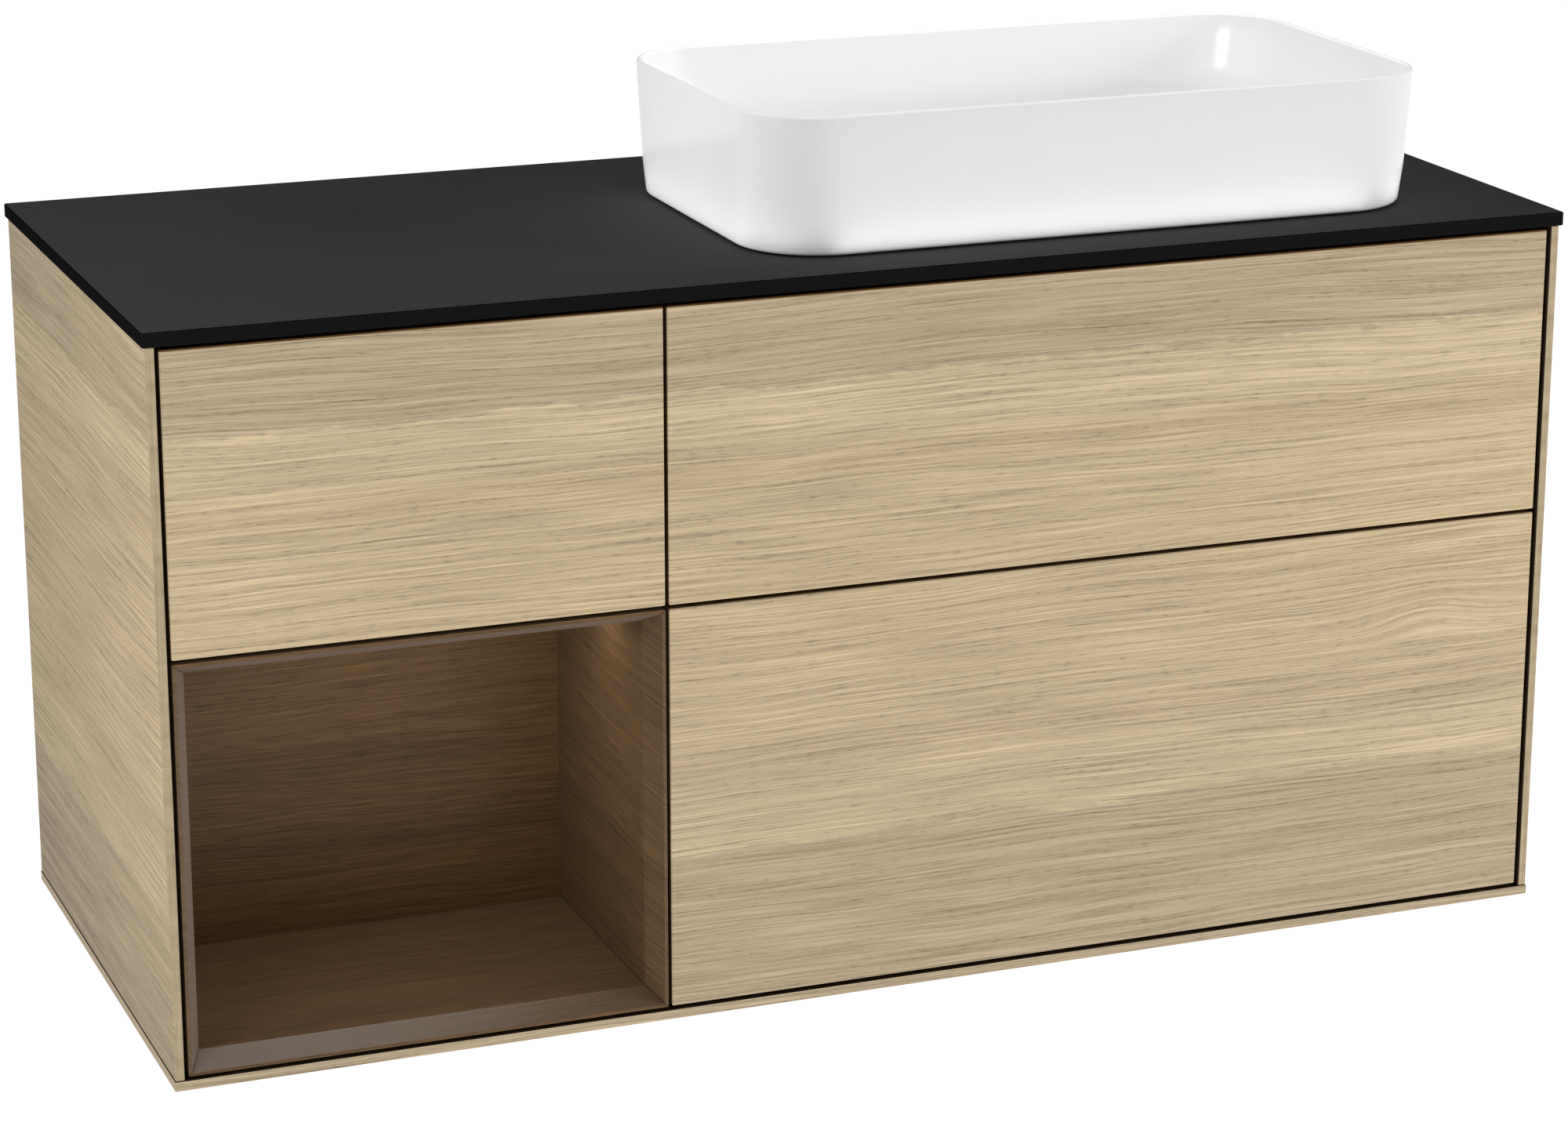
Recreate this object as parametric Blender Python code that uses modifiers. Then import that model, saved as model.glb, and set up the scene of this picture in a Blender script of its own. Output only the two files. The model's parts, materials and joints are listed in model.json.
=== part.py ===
"""Wall-hung bathroom vanity with a vessel basin on a black glass top.

Metres, +Z up, drawers open towards -Y, the wall is at +Y. The origin is under
the middle of the cabinet, level with the underside of its bottom panel.
"""
import math

import bmesh
import bpy
from mathutils import Matrix, Vector

NAME = "vessel_sink_vanity"

# ---------------------------------------------------------------- driving sizes
WIDTH = 1.200               # glass top, side to side
DEPTH = 0.501               # glass top, front to wall
TOP_Z = 0.603               # upper face of the glass top
TOP_THICKNESS = 0.0115
TOUCH = 0.0003              # gap left between pieces that rest on each other
EASE = 0.0006               # eased edge of a board

BOARD = 0.016               # carcass boards
PANEL_INSET = 0.0028        # side panels stand this far inside the glass top
PANEL_FRONT = 0.0019        # their front edges behind the glass top's front
PANEL_EDGE = 0.0075         # visible front edge of a side panel
FLOOR_INSET = 0.0022        # bottom panel, inside the glass top at the sides
FLOOR_FRONT = 0.0013        # and at the front
FLOOR_EDGE = 0.0076         # visible front edge of the bottom panel
REBATE_DEPTH = 0.024        # carcass boards start this far behind the glass front

FRONT_RECESS = 0.00265      # drawer fronts behind the glass top's front
FRONT_THICKNESS = 0.01885
JOINT_SIDE = 0.0032         # upright shadow joints
JOINT_FLOOR = 0.0028        # fronts to the bottom panel
JOINT_TOP = 0.0032          # fronts to the glass top
SPLIT_X = 0.40945           # middle of the upright joint, from the left side
SPLIT_Z = 0.3465            # middle of the level joint
FRONT_EASE = 0.0009

NICHE_FACE = 0.0029         # flat front edge of the niche frame
NICHE_CHAMFER = 0.0102      # how far the chamfer closes in
NICHE_CHAMFER_DEPTH = 0.0201
NICHE_BACK = 0.238          # niche's back wall behind the glass top's front
NICHE_FLANGE = 0.0205
LIGHT_Y = 0.092             # light channel behind the glass top's front
LIGHT_WIDTH = 0.0170
LIGHT_MARGIN = 0.036        # from the niche's sides

BASIN_X = 0.2065            # basin's middle from the cabinet's middle
BASIN_Y = -0.0270
BASIN_LENGTH = 0.600
BASIN_BREADTH = 0.351
BASIN_TOP_Z = 0.717
BASIN_CORNER = 0.0658
BASIN_TAPER = 0.0048        # each side, rim to foot
BASIN_WALL = 0.0055
BASIN_FLOOR = 0.0180
SEAL_THICKNESS = 0.0010
CORNER_STEPS = 7            # facets in a basin corner

PIPE_STEPS = 24
TRAP_OUTLET_Z = 0.462

RUNNER_CHANNEL = 0.0130     # height of a cabinet rail
RUNNER_WIDTH = 0.0150
STEEL = 0.0015
SIDE_THICKNESS = 0.0130     # metal drawer side
SIDE_START = 0.0012         # drawer side from the cabinet wall
BOX_LENGTH = 0.440
BOX_BOTTOM = 0.012
BOX_BACK = 0.016
UPPER_RUNNER_Z = 0.360
LOWER_RUNNER_Z = 0.022
UPPER_SIDE_HEIGHT = 0.126
LOWER_SIDE_HEIGHT = 0.190
RECESS_HALF = 0.075         # siphon cut-out in the drawer, half width
RECESS_REACH = 0.075        # in front of the trap's axis
RECESS_CORNER = 0.040
RECESS_WALL = 0.008

# ---------------------------------------------------------------- derived places
LEFT = -WIDTH / 2
FRONT = -DEPTH / 2
WALL = DEPTH / 2
UNDER_TOP = TOP_Z - TOP_THICKNESS
FACE_Y = FRONT + FRONT_RECESS
CARCASS_Y = FRONT + REBATE_DEPTH
INNER_LEFT = LEFT + PANEL_INSET + BOARD
INNER_RIGHT = -INNER_LEFT
JOINT_X = LEFT + SPLIT_X
PARTITION_LEFT = JOINT_X - BOARD / 2
PARTITION_RIGHT = JOINT_X + BOARD / 2
SHELF_BOTTOM = SPLIT_Z - BOARD / 2
SHELF_TOP = SPLIT_Z + BOARD / 2
FRONTS_LEFT = LEFT + PANEL_INSET + PANEL_EDGE + JOINT_SIDE
FRONTS_RIGHT = -FRONTS_LEFT
FRONTS_BOTTOM = FLOOR_EDGE + JOINT_FLOOR
FRONTS_TOP = UNDER_TOP - JOINT_TOP
BACK_Y = WALL - 0.016       # front face of the back panel
BACK_THICKNESS = 0.008
RAIL_DEPTH = 0.080          # top rails, front to back
RAIL_BOTTOM = UNDER_TOP - BOARD
BASIN_FOOT_Z = TOP_Z + SEAL_THICKNESS + 2 * TOUCH


# ---------------------------------------------------------------- scene helpers
def clear_scene():
    for item in list(bpy.data.objects):
        bpy.data.objects.remove(item, do_unlink=True)


def new_collection(name):
    collection = bpy.data.collections.new(name)
    bpy.context.scene.collection.children.link(collection)
    return collection


def finish_of(name, colour, roughness, metallic):
    """A Principled material, made once and shared by the pieces of that finish."""
    found = bpy.data.materials.get(name)
    if found:
        return found
    finish = bpy.data.materials.new(name)
    finish.use_nodes = True
    shader = finish.node_tree.nodes["Principled BSDF"]
    shader.inputs["Base Color"].default_value = (*colour, 1.0)
    shader.inputs["Roughness"].default_value = roughness
    shader.inputs["Metallic"].default_value = metallic
    finish.diffuse_color = (*colour, 1.0)
    return finish


def oak():
    return finish_of("oak_veneer", (0.55, 0.42, 0.25), 0.6, 0.0)


def walnut():
    return finish_of("walnut_veneer", (0.078, 0.045, 0.020), 0.4, 0.0)


def black_glass():
    return finish_of("black_glass", (0.020, 0.020, 0.021), 0.45, 0.0)


def ceramic():
    return finish_of("white_ceramic", (0.88, 0.88, 0.88), 0.08, 0.0)


def chrome():
    return finish_of("chrome", (0.80, 0.80, 0.82), 0.08, 1.0)


def steel():
    return finish_of("zinc_steel", (0.55, 0.56, 0.58), 0.35, 1.0)


def drawer_metal():
    return finish_of("drawer_metal", (0.075, 0.078, 0.082), 0.45, 0.6)


def carcass_board():
    return finish_of("carcass_board", (0.20, 0.19, 0.175), 0.6, 0.0)


def rubber():
    return finish_of("sealing_rubber", (0.035, 0.035, 0.035), 0.8, 0.0)


def plastic():
    return finish_of("white_plastic", (0.78, 0.78, 0.76), 0.4, 0.0)


def aluminium():
    return finish_of("aluminium", (0.62, 0.62, 0.64), 0.35, 1.0)


def opal():
    return finish_of("opal_diffuser", (0.92, 0.86, 0.74), 0.35, 0.0)


# ---------------------------------------------------------------- shape helpers
def add_object(name, mesh, finish, collection, matrix=None):
    piece = bpy.data.objects.new(name, mesh)
    if matrix is not None:
        piece.matrix_world = matrix
    if finish is not None:
        mesh.materials.append(finish)
    collection.objects.link(piece)
    return piece


def add_bevel(piece, width, segments=1):
    """Eases the sharp edges of a finished mesh."""
    bevel = piece.modifiers.new("eased_edges", "BEVEL")
    bevel.width = width
    bevel.segments = segments
    bevel.limit_method = "ANGLE"
    bevel.angle_limit = math.radians(40)
    return piece


def board(name, low, high, finish, ease=EASE, segments=1):
    """A box between two corners, centred on its own origin."""
    low = Vector(low)
    high = Vector(high)
    mesh = bpy.data.meshes.new(name)
    shape = bmesh.new()
    bmesh.ops.create_cube(shape, size=1.0)
    bmesh.ops.scale(shape, vec=high - low, verts=shape.verts)
    shape.to_mesh(mesh)
    shape.free()
    piece = add_object(name, mesh, finish, PARTS, Matrix.Translation((low + high) / 2))
    if ease:
        add_bevel(piece, ease, segments)
    return piece


def curve_to_mesh(curve):
    """The filled curve as a closed mesh, its loose caps welded on."""
    guide = bpy.data.objects.new("outline", curve)
    CUTTERS.objects.link(guide)
    bpy.context.view_layer.update()
    evaluated = guide.evaluated_get(bpy.context.evaluated_depsgraph_get())
    mesh = bpy.data.meshes.new_from_object(evaluated)
    bpy.data.objects.remove(guide, do_unlink=True)
    shape = bmesh.new()
    shape.from_mesh(mesh)
    bmesh.ops.remove_doubles(shape, verts=shape.verts, dist=0.00001)
    bmesh.ops.recalc_face_normals(shape, faces=shape.faces)
    shape.to_mesh(mesh)
    shape.free()
    return mesh


def extruded(name, outlines, thickness, finish, matrix, ease=0.0):
    """A flat outline, with any holes, given a thickness about its own plane."""
    curve = bpy.data.curves.new(name, "CURVE")
    curve.dimensions = "2D"
    curve.fill_mode = "BOTH"
    curve.extrude = thickness / 2
    for outline in outlines:
        spline = curve.splines.new("POLY")
        spline.points.add(len(outline) - 1)
        for point, (x, y) in zip(spline.points, outline):
            point.co = (x, y, 0.0, 1.0)
        spline.use_cyclic_u = True
    mesh = curve_to_mesh(curve)
    mesh.materials.clear()
    piece = add_object(name, mesh, finish, PARTS, matrix)
    if ease:
        add_bevel(piece, ease)
    return piece


def upright(middle_z):
    """Outline in X and Y, thickness along Z."""
    return Matrix.Translation((0.0, 0.0, middle_z))


def along_depth(middle_y):
    """Outline in X and Z, thickness along Y."""
    return Matrix.Translation((0.0, middle_y, 0.0)) @ Matrix.Rotation(math.pi / 2, 4, "X")


def along_width(middle_x):
    """Outline in Y and Z, thickness along X."""
    turn = Matrix(((0, 0, 1, 0), (1, 0, 0, 0), (0, 1, 0, 0), (0, 0, 0, 1)))
    return Matrix.Translation((middle_x, 0.0, 0.0)) @ turn


def turned(name, profile, finish, matrix, closed, steps=PIPE_STEPS):
    """A profile of (radius, height) points turned about its own Z axis."""
    mesh = bpy.data.meshes.new(name)
    shape = bmesh.new()
    points = [shape.verts.new((radius, 0.0, height)) for radius, height in profile]
    for first, second in zip(points, points[1:]):
        shape.edges.new((first, second))
    if closed:
        shape.edges.new((points[-1], points[0]))
    shape.to_mesh(mesh)
    shape.free()
    piece = add_object(name, mesh, finish, PARTS, matrix)
    screw = piece.modifiers.new("turn", "SCREW")
    screw.steps = steps
    screw.render_steps = steps
    screw.merge_threshold = 0.00001
    screw.use_merge_vertices = True
    screw.use_smooth_shade = True
    bpy.context.view_layer.update()
    evaluated = piece.evaluated_get(bpy.context.evaluated_depsgraph_get())
    solid = bpy.data.meshes.new_from_object(evaluated)
    solid.name = name
    solid.set_sharp_from_angle(angle=math.radians(35))
    piece.modifiers.clear()
    piece.data = solid
    return piece


def cutter_box(name, low, high):
    low = Vector(low)
    high = Vector(high)
    mesh = bpy.data.meshes.new(name)
    shape = bmesh.new()
    bmesh.ops.create_cube(shape, size=1.0)
    bmesh.ops.scale(shape, vec=high - low, verts=shape.verts)
    shape.to_mesh(mesh)
    shape.free()
    return hide_cutter(add_object(name, mesh, None, CUTTERS, Matrix.Translation((low + high) / 2)))


def cutter_cylinder(name, radius, length, matrix):
    mesh = bpy.data.meshes.new(name)
    shape = bmesh.new()
    bmesh.ops.create_cone(
        shape, cap_ends=True, segments=PIPE_STEPS, radius1=radius, radius2=radius, depth=length)
    shape.to_mesh(mesh)
    shape.free()
    return hide_cutter(add_object(name, mesh, None, CUTTERS, matrix))


def hide_cutter(piece):
    piece.hide_render = True
    piece.display_type = "WIRE"
    return piece


def combine(piece, cutter, operation="DIFFERENCE"):
    boolean = piece.modifiers.new(cutter.name, "BOOLEAN")
    boolean.operation = operation
    boolean.object = cutter
    boolean.solver = "EXACT"
    return piece


def circle(radius, middle=(0.0, 0.0), steps=PIPE_STEPS):
    return [(middle[0] + radius * math.cos(2 * math.pi * step / steps),
             middle[1] + radius * math.sin(2 * math.pi * step / steps))
            for step in range(steps)]


def arc(middle, radius, start, end, steps):
    """Points on an arc, angles in degrees."""
    points = []
    for step in range(steps + 1):
        angle = math.radians(start + (end - start) * step / steps)
        points.append((middle[0] + radius * math.cos(angle), middle[1] + radius * math.sin(angle)))
    return points


def rounded_rectangle(half_x, half_y, radius, steps=CORNER_STEPS):
    """Outline about the origin, with four equal round corners."""
    points = []
    for corner, (side_x, side_y) in enumerate(((1, 1), (-1, 1), (-1, -1), (1, -1))):
        middle = (side_x * (half_x - radius), side_y * (half_y - radius))
        points += arc(middle, radius, 90 * corner, 90 * corner + 90, steps)
    return points


# ---------------------------------------------------------------- carcass
def side_panel(name, side):
    """Upright panel with a rebate behind which the drawer fronts sit."""
    outer = side * (WIDTH / 2 - PANEL_INSET)
    edge = side * (WIDTH / 2 - PANEL_INSET - PANEL_EDGE)
    inner = side * (WIDTH / 2 - PANEL_INSET - BOARD)
    outline = [
        (outer, FRONT + PANEL_FRONT), (edge, FRONT + PANEL_FRONT), (edge, CARCASS_Y),
        (inner, CARCASS_Y), (inner, WALL), (outer, WALL)]
    low = FLOOR_EDGE + TOUCH
    high = UNDER_TOP - TOUCH
    return extruded(name, [outline], high - low, oak(), upright((low + high) / 2), EASE)


def bottom_panel():
    """Thin at its rim, where the sides stand on it, and full thickness inside."""
    rim = WIDTH / 2 - FLOOR_INSET
    core = INNER_RIGHT - TOUCH
    outline = [
        (-rim, 0.0), (rim, 0.0), (rim, FLOOR_EDGE), (core, FLOOR_EDGE), (core, BOARD),
        (-core, BOARD), (-core, FLOOR_EDGE), (-rim, FLOOR_EDGE)]
    front = FRONT + FLOOR_FRONT
    piece = extruded(
        "bottom_panel", [outline], WALL - front, oak(), along_depth((WALL + front) / 2))
    margin = 0.01
    rebate = cutter_box(
        "bottom_rebate", (LEFT, FRONT - margin, FLOOR_EDGE),
        (-LEFT, CARCASS_Y, BOARD + margin))
    combine(piece, rebate)
    back = cutter_box(
        "bottom_back_rebate", (LEFT, BACK_Y - TOUCH, FLOOR_EDGE),
        (-LEFT, WALL + margin, BOARD + margin))
    combine(piece, back)
    return add_bevel(piece, EASE)


def centre_partition():
    return board(
        "centre_partition", (PARTITION_LEFT, CARCASS_Y, BOARD + TOUCH),
        (PARTITION_RIGHT, BACK_Y - TOUCH, RAIL_BOTTOM - TOUCH), carcass_board())


def column_shelf():
    return board(
        "column_shelf", (INNER_LEFT + TOUCH, CARCASS_Y, SHELF_BOTTOM),
        (PARTITION_LEFT - TOUCH, BACK_Y - TOUCH, SHELF_TOP), carcass_board())


def top_rails():
    """Two stretchers under the glass, one at the front and one at the back."""
    rear = BACK_Y - TOUCH - RAIL_DEPTH
    for name, start in (("top_rail_front", CARCASS_Y), ("top_rail_back", rear)):
        board(
            name, (INNER_LEFT + TOUCH, start, RAIL_BOTTOM),
            (INNER_RIGHT - TOUCH, start + RAIL_DEPTH, UNDER_TOP - TOUCH), carcass_board())


HANGER_MARGIN = 0.006       # hanger from the side panel
HANGER_WIDTH = 0.026
HANGER_BOTTOM = 0.508
HANGER_TOP = 0.562
NOTCH_WIDTH = 0.040         # clearance cut in the back panel round a hanger
NOTCH_BOTTOM = 0.500
SERVICE_HALF = 0.110        # half the service gap behind the trap
SERVICE_LOW = 0.415


def back_board(name, side, outline):
    """Recessed back board, notched at its upper outer corner for a hanger."""
    outer = side * (INNER_RIGHT - TOUCH)
    notch = side * (INNER_RIGHT - TOUCH - NOTCH_WIDTH)
    corner = [
        (notch, UNDER_TOP - TOUCH), (notch, NOTCH_BOTTOM), (outer, NOTCH_BOTTOM),
        (outer, FLOOR_EDGE + TOUCH)]
    middle = BACK_Y + BACK_THICKNESS / 2
    return extruded(
        name, [corner + outline], BACK_THICKNESS, carcass_board(), along_depth(middle))


def back_panels():
    """Two back boards whose joint runs up one side of the service gap."""
    low = FLOOR_EDGE + TOUCH
    high = UNDER_TOP - TOUCH
    gap_left = BASIN_X - SERVICE_HALF
    gap_right = BASIN_X + SERVICE_HALF
    back_board("back_panel_left", -1, [(gap_left, low), (gap_left, high)])
    start = gap_left + TOUCH
    back_board(
        "back_panel_right", 1,
        [(start, low), (start, SERVICE_LOW), (gap_right, SERVICE_LOW), (gap_right, high)])


def wall_hanger(name, side):
    """Steel hanger whose hook reaches the wall and drops over a wall plate."""
    wall_face = WALL - 0.0005
    hook = 0.008
    slot_front = wall_face - 0.031
    shoulder = HANGER_TOP - 0.016
    outline = [
        (wall_face - 0.058, HANGER_BOTTOM), (slot_front, HANGER_BOTTOM), (slot_front, shoulder),
        (wall_face - hook, shoulder), (wall_face - hook, shoulder - 0.020),
        (wall_face, shoulder - 0.020), (wall_face, HANGER_TOP), (wall_face - 0.058, HANGER_TOP)]
    middle = side * (INNER_RIGHT - HANGER_MARGIN - HANGER_WIDTH / 2)
    return extruded(name, [outline], HANGER_WIDTH, steel(), along_width(middle))


def carcass():
    side_panel("side_panel_left", -1)
    side_panel("side_panel_right", 1)
    bottom_panel()
    centre_partition()
    column_shelf()
    top_rails()
    back_panels()
    wall_hanger("wall_hanger_left", -1)
    wall_hanger("wall_hanger_right", 1)


# ---------------------------------------------------------------- open niche
NICHE_LEFT = FRONTS_LEFT
NICHE_RIGHT = JOINT_X - JOINT_SIDE / 2
NICHE_BOTTOM = FRONTS_BOTTOM
NICHE_TOP = SPLIT_Z - JOINT_SIDE / 2
NICHE_INSET = NICHE_FACE + NICHE_CHAMFER
NICHE_WALL_END = FRONT + NICHE_BACK


def niche_board(name, half_length, step, place, turn):
    """One mitred board of the niche: a chamfered front frame and its wall behind.

    Drawn with X as the inset from the outer edge, Y as the depth behind the
    front face and Z along the board, then turned about Y into place.
    """
    outline = [
        (0.0, 0.0), (NICHE_FACE, 0.0), (NICHE_INSET, NICHE_CHAMFER_DEPTH),
        (NICHE_INSET, NICHE_WALL_END - FACE_Y), (step, NICHE_WALL_END - FACE_Y),
        (step, NICHE_FLANGE), (0.0, NICHE_FLANGE)]
    matrix = Matrix.Translation(place) @ Matrix.Rotation(math.radians(turn), 4, "Y")
    piece = extruded(name, [outline], 2 * half_length, walnut(), matrix)
    for vertex in piece.data.vertices:
        end = 1 if vertex.co.z > 0 else -1
        vertex.co.z = end * (half_length - vertex.co.x - TOUCH)
    return piece


def niche():
    """Four mitred boards round the opening, and the back wall behind them."""
    middle_x = (NICHE_LEFT + NICHE_RIGHT) / 2
    middle_z = (NICHE_BOTTOM + NICHE_TOP) / 2
    half_x = (NICHE_RIGHT - NICHE_LEFT) / 2
    half_z = (NICHE_TOP - NICHE_BOTTOM) / 2
    left_step = INNER_LEFT + TOUCH - NICHE_LEFT
    right_step = NICHE_RIGHT - PARTITION_LEFT + TOUCH
    floor_step = BOARD + TOUCH - NICHE_BOTTOM
    top_step = NICHE_TOP - SHELF_BOTTOM + TOUCH
    niche_board("niche_side_left", half_z, left_step, (NICHE_LEFT, FACE_Y, middle_z), 0)
    niche_board("niche_side_right", half_z, right_step, (NICHE_RIGHT, FACE_Y, middle_z), 180)
    niche_board("niche_floor", half_x, floor_step, (middle_x, FACE_Y, NICHE_BOTTOM), -90)
    top = niche_board("niche_top", half_x, top_step, (middle_x, FACE_Y, NICHE_TOP), 90)
    light_channel(top)
    board(
        "niche_back",
        (NICHE_LEFT + left_step, NICHE_WALL_END + TOUCH, NICHE_BOTTOM + floor_step),
        (NICHE_RIGHT - right_step, NICHE_WALL_END + BACK_THICKNESS, NICHE_TOP - top_step), walnut())


def light_channel(niche_top):
    """Aluminium channel with its light strip and cover, let into the niche top."""
    low_z = NICHE_TOP - NICHE_INSET
    high_z = SHELF_BOTTOM - TOUCH
    start = NICHE_LEFT + LIGHT_MARGIN
    end = NICHE_RIGHT - LIGHT_MARGIN
    front = FRONT + LIGHT_Y
    back = front + LIGHT_WIDTH
    margin = 0.004
    combine(niche_top, cutter_box(
        "light_slot", (start, front, low_z - margin), (end, back, high_z + margin)))
    wall = 0.0010
    bottom = low_z + TOUCH / 3
    outline = [
        (front + TOUCH, bottom), (front + TOUCH + wall, bottom),
        (front + TOUCH + wall, high_z - wall), (back - TOUCH - wall, high_z - wall),
        (back - TOUCH - wall, bottom), (back - TOUCH, bottom), (back - TOUCH, high_z),
        (front + TOUCH, high_z)]
    extruded(
        "light_profile", [outline], end - start - 2 * TOUCH, aluminium(),
        along_width((start + end) / 2))
    inner_front = front + wall + 2 * TOUCH
    inner_back = back - wall - 2 * TOUCH
    board(
        "light_cover", (start + TOUCH, inner_front, bottom),
        (end - TOUCH, inner_back, bottom + 0.0012), opal(), 0.0)
    strip = high_z - wall - TOUCH
    board(
        "light_strip", (start + TOUCH, inner_front + 0.0018, strip - 0.0012),
        (end - TOUCH, inner_back - 0.0018, strip), plastic(), 0.0)


# ---------------------------------------------------------------- glass top and basin
TOP_HOLE = 0.025
TUBE_RADIUS = 0.021
TUBE_BORE = 0.019


def over_drain(height=0.0):
    return Matrix.Translation((BASIN_X, BASIN_Y, height))


def glass_top():
    piece = board(
        "glass_top", (LEFT, FRONT, UNDER_TOP), (-LEFT, WALL, TOP_Z), black_glass(), 0.0008)
    hole = cutter_cylinder(
        "waste_hole", TOP_HOLE, 3 * TOP_THICKNESS, over_drain(TOP_Z - TOP_THICKNESS / 2))
    return combine(piece, hole)


def round_ring(radius, height):
    count = 4 * (CORNER_STEPS + 1)
    return [
        (radius * math.cos(2 * math.pi * (step + 0.5) / count),
         radius * math.sin(2 * math.pi * (step + 0.5) / count), height)
        for step in range(count)]


def inset_ring(inset, height, corner):
    """The rim outline, moved in by an inset, with its own corner radius."""
    outline = rounded_rectangle(BASIN_LENGTH / 2 - inset, BASIN_BREADTH / 2 - inset, corner)
    return [(x, y, height) for x, y in outline]


def basin_rings():
    """Cross-sections from the waste hole up the bowl, over the rim and under the foot."""
    height = BASIN_TOP_Z - BASIN_FOOT_Z
    hollow = 0.004                       # recess inside the foot
    seat = 0.0105                        # waste flange's seat
    rings = [
        round_ring(0.0225, hollow), round_ring(0.0225, seat - 0.001),
        round_ring(0.0335, seat), round_ring(0.0345, seat + 0.0035),
        round_ring(0.0450, seat + 0.0050)]
    wall_foot = BASIN_WALL + 0.0060      # inset of the bowl wall above its fillet
    fillet = 0.034
    for step in range(5):
        angle = math.radians(90 * step / 4)
        inset = wall_foot + fillet * (1 - math.sin(angle))
        corner = BASIN_CORNER - 0.004 - 0.5 * fillet * (1 - math.sin(angle))
        rings.append(inset_ring(inset, BASIN_FLOOR + fillet * (1 - math.cos(angle)), corner))
    rim = 0.0022                         # rounding of the rim's edges
    for angle in (0, 30, 60, 90):
        turn = math.radians(angle)
        inset = BASIN_WALL - rim * (1 - math.cos(turn))
        rings.append(inset_ring(inset, height - rim + rim * math.sin(turn), BASIN_CORNER - inset))
    for angle in (90, 60, 30, 0):
        turn = math.radians(angle)
        inset = rim * (1 - math.cos(turn))
        rings.append(inset_ring(inset, height - rim + rim * math.sin(turn), BASIN_CORNER - inset))
    foot_corner = BASIN_CORNER + BASIN_TAPER
    rings.append(inset_ring(BASIN_TAPER, 0.0035, foot_corner))
    rings.append(inset_ring(BASIN_TAPER + 0.0008, 0.0011, foot_corner))
    rings.append(inset_ring(BASIN_TAPER + 0.0028, 0.0, foot_corner - 0.002))
    rings.append(inset_ring(BASIN_TAPER + 0.0150, 0.0, foot_corner - 0.014))
    rings.append(inset_ring(BASIN_TAPER + 0.0170, hollow, foot_corner - 0.016))
    return rings


def basin():
    """Lofted through its cross-sections and closed back onto the waste hole."""
    mesh = bpy.data.meshes.new("basin")
    shape = bmesh.new()
    rings = [[shape.verts.new(point) for point in ring] for ring in basin_rings()]
    count = len(rings[0])
    for lower, upper in zip(rings, rings[1:] + rings[:1]):
        for step in range(count):
            after = (step + 1) % count
            shape.faces.new((lower[step], lower[after], upper[after], upper[step]))
    bmesh.ops.recalc_face_normals(shape, faces=shape.faces)
    shape.to_mesh(mesh)
    shape.free()
    mesh.shade_smooth()
    mesh.set_sharp_from_angle(angle=math.radians(50))
    return add_object("basin", mesh, ceramic(), PARTS, over_drain(BASIN_FOOT_Z))


def basin_seal():
    middle_inset = BASIN_TAPER + 0.009
    half = 0.0030
    outlines = []
    for inset in (middle_inset - half, middle_inset + half):
        outlines.append(rounded_rectangle(
            BASIN_LENGTH / 2 - inset, BASIN_BREADTH / 2 - inset,
            BASIN_CORNER + BASIN_TAPER - inset))
    return extruded(
        "basin_seal", outlines, SEAL_THICKNESS, rubber(),
        over_drain(TOP_Z + TOUCH + SEAL_THICKNESS / 2))


# ---------------------------------------------------------------- waste and trap
FLANGE_Z = BASIN_FOOT_Z + 0.0105 + TOUCH
FLANGE_THICKNESS = 0.0025
FLANGE_RADIUS = 0.032
PLUG_RADIUS = 0.029
PLUG_GUIDE = 0.0165
TUBE_END = 0.545
NUT_RADIUS = 0.033
WASHER = 0.0030
TAIL_RADIUS = 0.016
TAIL_BORE = 0.0145
TAIL_END = 0.440
CUP_TOP = 0.497
CUP_RADIUS = 0.033
BOSS_RADIUS = 0.0185
BOSS_REACH = 0.048


def waste_flange():
    top = FLANGE_Z + FLANGE_THICKNESS
    profile = [
        (TUBE_BORE, top - 0.0015), (TUBE_BORE + 0.002, top), (FLANGE_RADIUS - 0.001, top),
        (FLANGE_RADIUS, top - 0.001), (FLANGE_RADIUS, FLANGE_Z), (TUBE_RADIUS, FLANGE_Z),
        (TUBE_RADIUS, TUBE_END), (TUBE_BORE, TUBE_END)]
    return turned("waste_flange", profile, chrome(), over_drain(), True)


def waste_plug():
    """Domed push plug whose guide slides in the waste tube."""
    base = FLANGE_Z + FLANGE_THICKNESS + 0.0004
    edge = 0.0020
    crown = 0.0042
    profile = []
    for step in range(6):
        angle = math.radians(90 * step / 5)
        profile.append((PLUG_RADIUS * math.sin(angle), base + edge + crown * math.cos(angle)))
    profile += [
        (PLUG_RADIUS, base + 0.0006), (PLUG_RADIUS - 0.0006, base), (PLUG_GUIDE, base),
        (PLUG_GUIDE, base - 0.026), (PLUG_GUIDE - 0.002, base - 0.028), (0.0, base - 0.028)]
    local = [(radius, height - base) for radius, height in profile]
    return turned("waste_plug", local, chrome(), over_drain(base), False)


def waste_washer():
    profile = [
        (TUBE_RADIUS + 0.0004, UNDER_TOP - TOUCH), (NUT_RADIUS, UNDER_TOP - TOUCH),
        (NUT_RADIUS, UNDER_TOP - TOUCH - WASHER), (TUBE_RADIUS + 0.0004, UNDER_TOP - TOUCH - WASHER)]
    return turned("waste_washer", profile, rubber(), over_drain(), True)


def waste_nut(name, bore, radius, low, high, sides):
    return extruded(
        name, [circle(radius, steps=sides), circle(bore)], high - low, plastic(),
        over_drain((low + high) / 2))


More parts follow.
